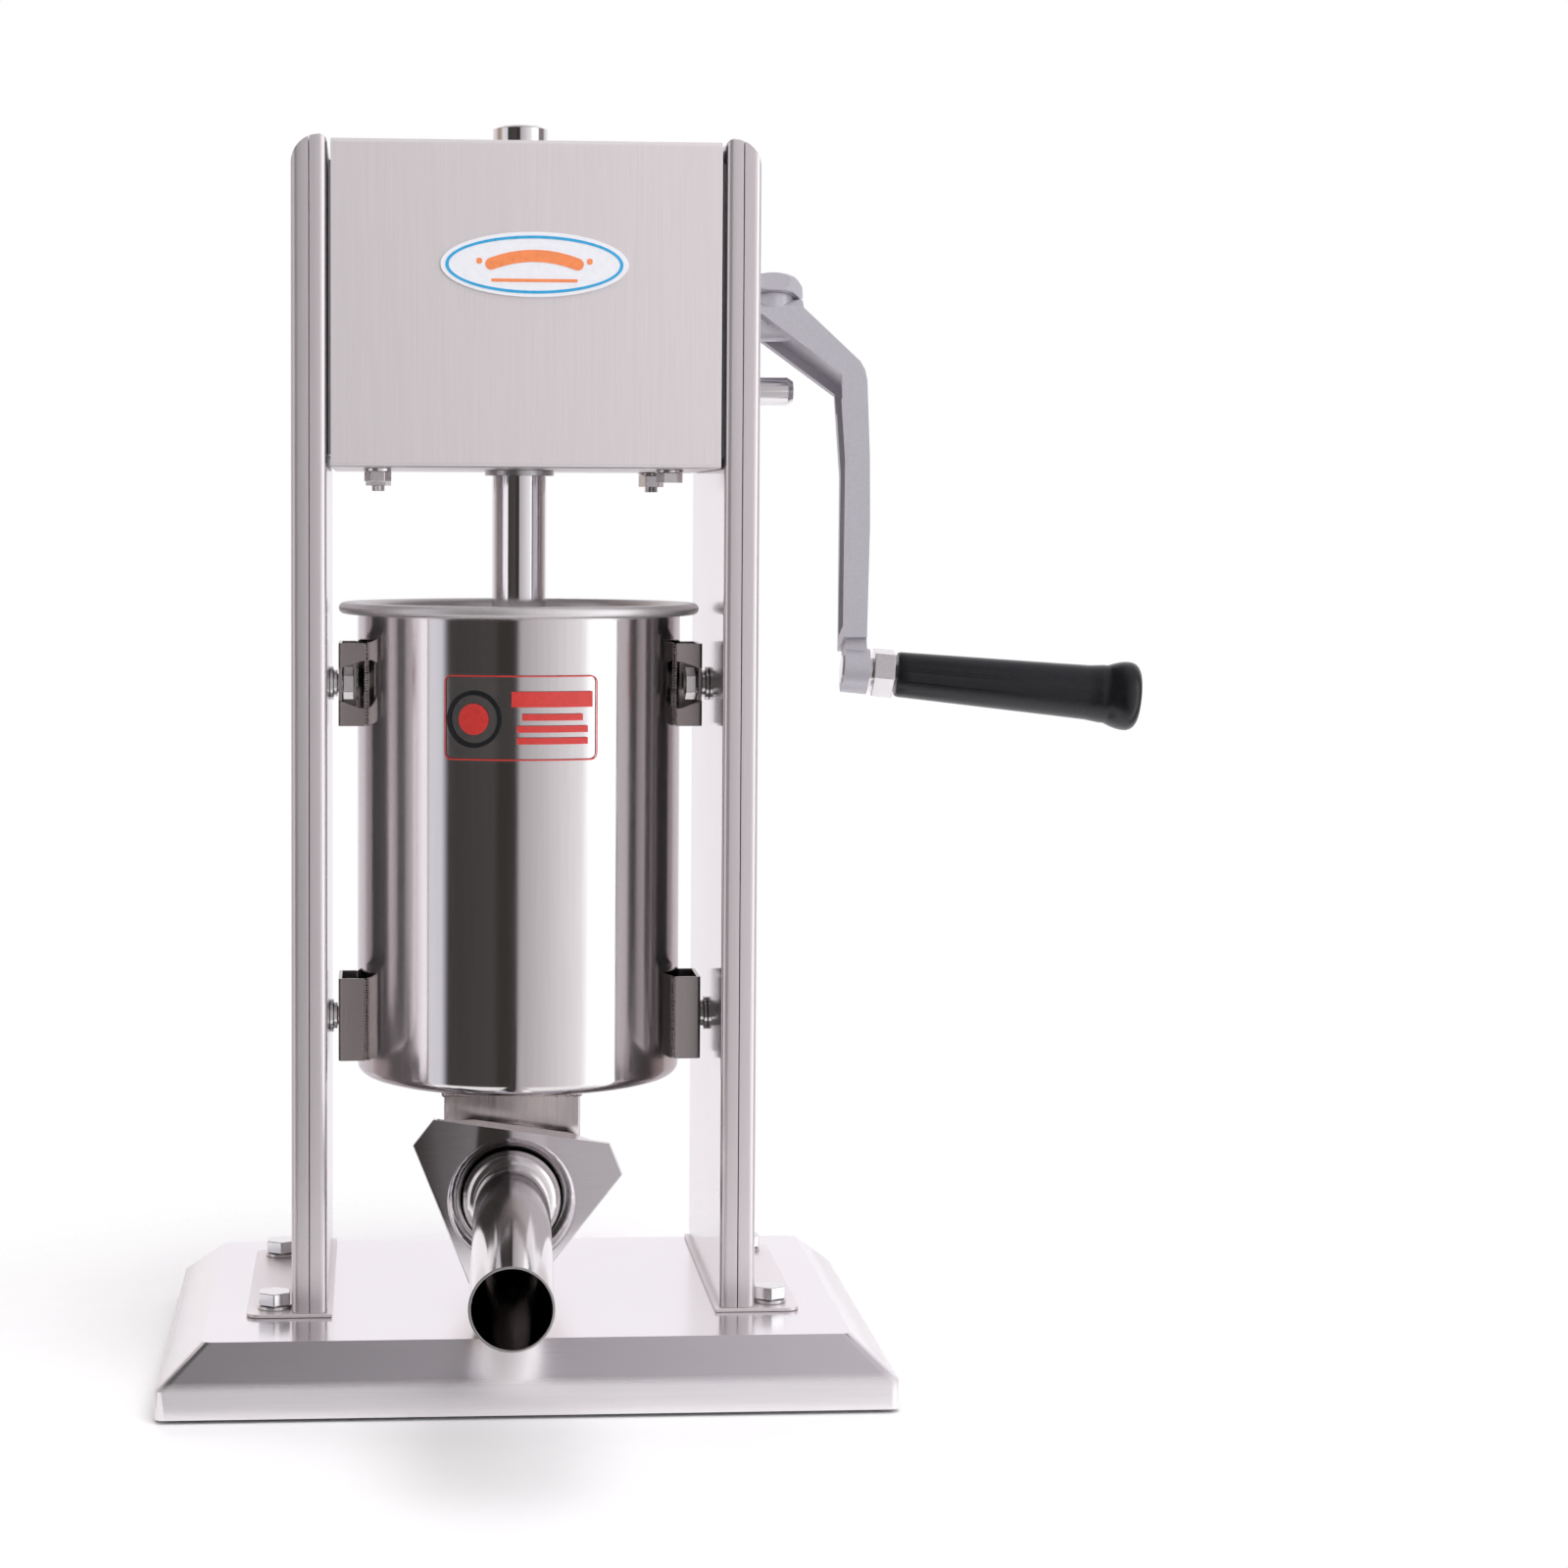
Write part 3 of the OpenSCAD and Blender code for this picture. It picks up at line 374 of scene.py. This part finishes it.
# material, then the width in mm by which each node's sharp edges are softened
DRESS = {
    "sheet_flat": {"base_pan": 0.9},
    "sheet_inner": {"column_inner_left": 0.2, "column_inner_right": 0.2},
    "sheet_column": {"column_outer_left": 0.2, "column_outer_right": 0.2},
    "sheet_upright": {
        "foot_plate_left": 0.3, "foot_plate_right": 0.3, "gearbox_cover": 0.3, "gearbox_back": 0.3},
    "foot_rubber": {"rubber_feet": 0.8},
    "bright_fastener": {
        "base_bolts": 0.4, "base_washers": 0.2, "base_nuts": 0.3, "back_screws": 0.3, "block_screws": 0.15,
        "cover_bolts": 0.3, "cover_washers": 0.2, "cover_nuts": 0.3, "hanger_studs": 0.3, "hanger_nuts": 0.4,
        "handle_stud": 0.4, "handle_nut": 0.7, "gear_pins": 0.2, "piston_washer": 0.2, "piston_bolt": 0.3},
    "machined_alloy": {
        "guide_bush_lower": 0.2, "bearing_block_left": 0.5, "bearing_block_right": 0.5, "floor_plate": 0.4},
    "gear_steel": {"main_gear": 0.15, "rack_pinion": 0.15},
    "rod_chrome": {"rack_rod": 0.2, "main_shaft": 0.3, "pinion_shaft": 0.2},
    "bronze": {"guide_bush_upper": 0.2, "shaft_bushes": 0.2, "valve_body": 0.3},
    "cast_aluminium": {"crank_arm": 1.0, "crank_lock_screw": 0.5},
    "grip_black": {"grip": 0.5},
    "canister_steel": {"canister": 0.15, "piston_body": 0.4, "valve_plunger": 0.3},
    "tube_steel": {"stuffing_tube": 0.15},
    "hook_steel": {
        "hook_upper_left": 0.3, "hook_upper_right": 0.3, "hook_lower_left": 0.3, "hook_lower_right": 0.3},
    "welded_steel": {"outlet_box": 0.8, "nozzle_pipe": 0.3},
    "nut_steel": {"wing_nut": 0.5},
    "silicone": {"piston_seal": 0.4},
    "badge_white": {"badge": 0.2},
    "clear_film": {"caution_label": 0.05},
}


def dress(node, material, softened):
    """Gives a CAD node its material, smooth curves and softened edges."""
    obj = NODES[node]
    mesh = obj.data
    for name in ("custom_normal", "sharp_edge", "sharp_face"):
        attribute = mesh.attributes.get(name)
        if attribute:
            mesh.attributes.remove(attribute)
    mesh.polygons.foreach_set("use_smooth", [True] * len(mesh.polygons))
    if not obj.material_slots:
        mesh.materials.append(MATS[material])
    for held in obj.material_slots:
        held.material = MATS[material]
    weld = obj.modifiers.new("weld", "WELD")
    weld.merge_threshold = 0.01 * MM
    flat = obj.modifiers.new("flat", "DECIMATE")
    flat.decimate_type = "DISSOLVE"
    flat.angle_limit = math.radians(0.6)
    edge = obj.modifiers.new("edge", "BEVEL")
    edge.width = softened * MM
    edge.segments = 2
    edge.limit_method = "ANGLE"
    edge.angle_limit = math.radians(32)
    edge.harden_normals = node not in LARGE_FLATS
    edge.miter_outer = "MITER_ARC"
    if node in LARGE_FLATS:
        even = obj.modifiers.new("even", "WEIGHTED_NORMAL")
        even.weight = 100


def dress_all():
    for material, nodes in DRESS.items():
        for node, softened in nodes.items():
            dress(node, material, softened)
    missing = set(NODES) - {n for nodes in DRESS.values() for n in nodes}
    assert not missing, missing


# ---------------------------------------------------------------- outlines and solids, in mm

def new_piece(name, bm, body, material, sharp=35):
    """A mesh in millimetres, in the shared frame, becomes a piece on a body."""
    bmesh.ops.recalc_face_normals(bm, faces=bm.faces)
    bmesh.ops.scale(bm, vec=(MM, MM, MM), verts=bm.verts)
    mesh = bpy.data.meshes.new(name)
    bm.to_mesh(mesh)
    bm.free()
    mesh.polygons.foreach_set("use_smooth", [True] * len(mesh.polygons))
    mesh.set_sharp_from_angle(angle=math.radians(sharp))
    mesh.materials.append(MATS[material])
    obj = bpy.data.objects.new(name, mesh)
    bpy.context.scene.collection.objects.link(obj)
    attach(obj, body)


def ellipse(a, b, cx=0, cy=0, n=96):
    angles = [2 * math.pi * i / n for i in range(n)]
    return [(cx + a * math.cos(t), cy + b * math.sin(t)) for t in angles]


def rounded(x0, y0, x1, y1, r, steps=5):
    points = []
    corners = ((x1 - r, y1 - r, 0), (x0 + r, y1 - r, 90), (x0 + r, y0 + r, 180), (x1 - r, y0 + r, 270))
    for cx, cy, start in corners:
        for i in range(steps + 1):
            a = math.radians(start + 90 * i / steps)
            points.append((cx + r * math.cos(a), cy + r * math.sin(a)))
    return points


def rounded_frame(x0, y0, x1, y1, r, inset, count=18):
    """A rounded outline with the same number of points whatever the inset, and points along its sides."""
    corner_r = max(0.4, r - inset)
    corners = rounded(x0 + inset, y0 + inset, x1 - inset, y1 - inset, corner_r)
    points = []
    per = len(corners) // 4
    for side in range(4):
        points += corners[side * per:(side + 1) * per]
        here, there = corners[(side + 1) * per - 1], corners[((side + 1) * per) % len(corners)]
        points += [(here[0] + (there[0] - here[0]) * k / count, here[1] + (there[1] - here[1]) * k / count)
                   for k in range(1, count)]
    return points


def add_plate(bm, outer, inner, place, depth):
    """A flat ring or patch with thickness.

    outer and inner are closed outlines with equal counts; inner is None for a patch.
    place(u, v, w) gives a point in the shared frame.
    """
    def loop(outline, w):
        return [bm.verts.new(place(u, v, w)) for u, v in outline]
    n = len(outer)
    top, bottom = loop(outer, depth), loop(outer, 0)
    if inner is None:
        bm.faces.new(top)
        bm.faces.new(list(reversed(bottom)))
    else:
        hole_top, hole_bottom = loop(inner, depth), loop(inner, 0)
    for i in range(n):
        j = (i + 1) % n
        bm.faces.new((bottom[i], bottom[j], top[j], top[i]))
        if inner is not None:
            bm.faces.new((top[i], top[j], hole_top[j], hole_top[i]))
            bm.faces.new((bottom[j], bottom[i], hole_bottom[i], hole_bottom[j]))
            bm.faces.new((hole_top[i], hole_top[j], hole_bottom[j], hole_bottom[i]))


def add_slices(bm, columns, place, depth):
    """A patch wrapped round a cylinder, from (u, lowest v, highest v) at each upright slice."""
    rows = []
    for u, v0, v1 in columns:
        rows.append([bm.verts.new(place(u, v, w)) for v, w in ((v0, 0), (v1, 0), (v1, depth), (v0, depth))])
    for a, b in zip(rows, rows[1:]):
        for k in range(4):
            bm.faces.new((a[k], a[(k + 1) % 4], b[(k + 1) % 4], b[k]))
    bm.faces.new(rows[0])
    bm.faces.new(list(reversed(rows[-1])))


def wrapped_bar(bm, u0, v0, u1, v1, place, depth, steps=12):
    add_slices(bm, [(u0 + (u1 - u0) * i / steps, v0, v1) for i in range(steps + 1)], place, depth)


def wrapped_disc(bm, cu, cv, r, place, depth, steps=20):
    columns = []
    for i in range(steps + 1):
        du = -r * math.cos(math.pi * i / steps) * 0.999
        half = math.sqrt(max(0.02, r * r - du * du))
        columns.append((cu + du, cv - half, cv + half))
    add_slices(bm, columns, place, depth)


# ---------------------------------------------------------------- badge and label

def rounded_end(end, previous, half_width):
    """Points round the end of a band that arrives from the point previous."""
    start = math.atan2(end[1] - previous[1], end[0] - previous[0])
    angles = [start + math.radians(a) for a in range(75, -76, -15)]
    return [(end[0] + half_width * math.cos(a), end[1] + half_width * math.sin(a)) for a in angles]


def sausage_outline(length, rise, foot, half_width, steps=24):
    """A curved sausage: a band of even width along a shallow arch, with round ends."""
    spine = []
    for i in range(steps + 1):
        t = i / steps
        spine.append(((t - 0.5) * length, foot + rise * (1 - (2 * t - 1) ** 2)))
    upper, lower = [], []
    for i, (u, v) in enumerate(spine):
        before, after = spine[max(0, i - 1)], spine[min(steps, i + 1)]
        d = Vector((after[0] - before[0], after[1] - before[1])).normalized()
        upper.append((u - d.y * half_width, v + d.x * half_width))
        lower.append((u + d.y * half_width, v - d.x * half_width))
    right_end = rounded_end(spine[-1], spine[-2], half_width)
    left_end = rounded_end(spine[0], spine[1], half_width)
    return upper + right_end + lower[::-1] + left_end


def badge_art():
    """A blue ring, an orange sausage between two dots, and a line under it."""
    low, high = box_mm("badge")
    cx, cz = (low.x + high.x) / 2, (low.z + high.z) / 2
    half, tall = (high.x - low.x) / 2, (high.z - low.z) / 2
    gap = 0.01

    def place(u, v, w):
        return Vector((cx + u, low.y - gap - w, cz + v))
    body = body_of("badge")
    bm = bmesh.new()
    add_plate(bm, ellipse(half - 2.1, tall - 1.5), ellipse(half - 3.5, tall - 2.7), place, BADGE_RAISE)
    new_piece("badge_ring", bm, body, "badge_blue")

    bm = bmesh.new()
    add_plate(bm, sausage_outline(length=36, rise=3.4, foot=0.2, half_width=2.5), None, place, BADGE_RAISE)
    dot_at, dot_half, dot_z0, dot_z1 = 23, 1.2, 0.2, 2.6
    for cu in (-dot_at, dot_at):
        dot = rounded(cu - dot_half, dot_z0, cu + dot_half, dot_z1, 0.9)
        add_plate(bm, dot, None, place, BADGE_RAISE)
    new_piece("badge_mark", bm, body, "badge_orange")

    bm = bmesh.new()
    add_plate(bm, rounded(-18, -7.2, 18, -5.9, 0.6), None, place, 0.1)
    new_piece("badge_line", bm, body, "badge_orange")


def label_art():
    """A red frame, a dark ring round a red disc, and four red bars, wrapped round the canister."""
    low, high = box_mm("caution_label")
    body = body_of("caution_label")

    def place(u, v, w):
        a = u / LABEL_RADIUS
        return Vector(((LABEL_RADIUS + w) * math.sin(a), -(LABEL_RADIUS + w) * math.cos(a), v))

    def arc_of(x):
        return math.asin(x / LABEL_RADIUS) * LABEL_RADIUS

    def strip(outer, inner, name, material):
        bm = bmesh.new()
        add_plate(bm, outer, inner, place, LABEL_RAISE)
        new_piece(name, bm, body, material)
    margin, corner, line = 0.6, 3.0, 0.55
    u0, u1 = arc_of(low.x) + margin, arc_of(high.x) - margin
    z0, z1 = low.z + margin, high.z - margin
    outer, inner = (rounded_frame(u0, z0, u1, z1, corner, inset) for inset in (0, line))
    strip(outer, inner, "label_frame", "print_red")

    ring_at, ring_r, ring_line, disc_r = 13.2, 12.0, 1.8, 6.6
    cu, cz = u0 + ring_at, (z0 + z1) / 2 - 0.6
    outer, inner = (ellipse(r, r, cu, cz) for r in (ring_r, ring_r - ring_line))
    strip(outer, inner, "label_ring", "print_dark")

    bm = bmesh.new()
    wrapped_disc(bm, cu, cz, disc_r, place, LABEL_RAISE)
    left, right = cu + 16.2, u1 - 2.4
    wrapped_bar(bm, left, cz + 5.2, right, cz + 11.8, place, LABEL_RAISE)
    thin, pitch, first = 2.8, 5.0, 2.4
    for k, inset in enumerate((4.5, 2.2, 2.2)):
        top = cz + first - pitch * k
        wrapped_bar(bm, left + inset, top - thin, right - inset, top, place, LABEL_RAISE)
    new_piece("label_bars", bm, body, "print_red")


# ---------------------------------------------------------------- welds

def bead(bm, points, radius, spacing=1.1, squash=0.75, jitter=0.3):
    """A hand-laid weld bead: overlapping flattened drops along a line of points."""
    length = sum((b - a).length for a, b in zip(points, points[1:]))
    count = max(2, int(length / spacing))
    for i in range(count + 1):
        at = length * i / count
        here, direction = points[0], (points[1] - points[0]).normalized()
        for a, b in zip(points, points[1:]):
            step = (b - a).length
            if at <= step or b is points[-1]:
                direction = (b - a).normalized()
                here = a + direction * min(at, step)
                break
            at -= step
        r = radius * (1 + jitter * (random.random() - 0.5))
        wobble = Vector((random.random() - 0.5, random.random() - 0.5, random.random() - 0.5))
        wobble *= radius * jitter * 0.6
        turn = direction.to_track_quat("X", "Z").to_matrix().to_4x4()
        matrix = Matrix.Translation(here + wobble) @ turn @ Matrix.Diagonal((r * squash, r, r, 1))
        bmesh.ops.create_uvsphere(bm, u_segments=8, v_segments=6, radius=1.0, matrix=matrix)


def outlet_point(x, y, z):
    """A point given in the outlet's own straight frame."""
    turn = math.radians(OUTLET_TURN)
    x -= OUTLET_SHIFT
    return Vector((x * math.cos(turn) - y * math.sin(turn), x * math.sin(turn) + y * math.cos(turn), z))


def revolve_about_outlet(bm, profile, segments=72):
    """A closed ring from (radius, distance to the front) about the outlet's axis."""
    rows = []
    for i in range(segments):
        a = 2 * math.pi * i / segments
        rows.append([bm.verts.new(outlet_point(r * math.cos(a), -d, OUTLET_Z + r * math.sin(a)))
                     for r, d in profile])
    n = len(profile)
    for i in range(segments):
        a, b = rows[i], rows[(i + 1) % segments]
        for k in range(n):
            bm.faces.new((a[k], a[(k + 1) % n], b[(k + 1) % n], b[k]))


def weld_beads():
    """Beads on the hooks' edges and round the top of the outlet box, and a fillet at the pipe's root."""
    body = body_of("canister")
    for level in ("upper", "lower"):
        for side in ("left", "right"):
            low, high = box_mm(f"hook_{level}_{side}")
            sign = -1 if side == "left" else 1
            bm = bmesh.new()
            for y in (low.y, high.y):
                x = sign * (math.sqrt(HOOK_WALL ** 2 - y ** 2) + 0.2)
                bead(bm, [Vector((x, y, low.z + 1)), Vector((x, y, high.z - 1))], radius=0.75)
            new_piece(f"weld_hook_{level}_{side}", bm, body, "bead_steel", sharp=180)

    top = box_mm("outlet_box")[1].z - 0.9
    front = -OUTLET_FRONT - 0.4
    left, right = -OUTLET_HALF, OUTLET_HALF
    corners = [(left, front), (right, front), (right, OUTLET_BACK), (left, OUTLET_BACK), (left, front)]
    bm = bmesh.new()
    bead(bm, [outlet_point(x, y, top) for x, y in corners], radius=1.1, spacing=1.5)
    new_piece("weld_outlet_top", bm, body, "bead_steel", sharp=180)

    # hollow fillet between the pipe and the front of the box: radius, distance past the front
    fillet = [(25.0, 1.1), (25.3, 0.8), (26.0, 0.5), (27.0, 0.25), (28.2, 0.1), (28.4, -0.1), (25.0, -0.1)]
    bm = bmesh.new()
    revolve_about_outlet(bm, [(r, OUTLET_FRONT + d) for r, d in fillet])
    new_piece("weld_pipe_root", bm, body, "welded_steel")


# ---------------------------------------------------------------- build

make_camera()
make_world()
make_floor()
area_light("top_panel", place=(0.1, -0.5, 1.9), target=(0, 0, 0.2), size=2.2, power=26)
area_light("front_panel", place=(0.7, -1.9, 0.9), target=(0, 0, 0.25), size=1.8, power=15)
area_light("back_panel", place=(-0.3, 1.6, 1.3), target=(0, 0, 0.2), size=1.4, power=12)
bpy.context.scene.view_settings.view_transform = "Standard"

dress_all()
badge_art()
label_art()
weld_beads()
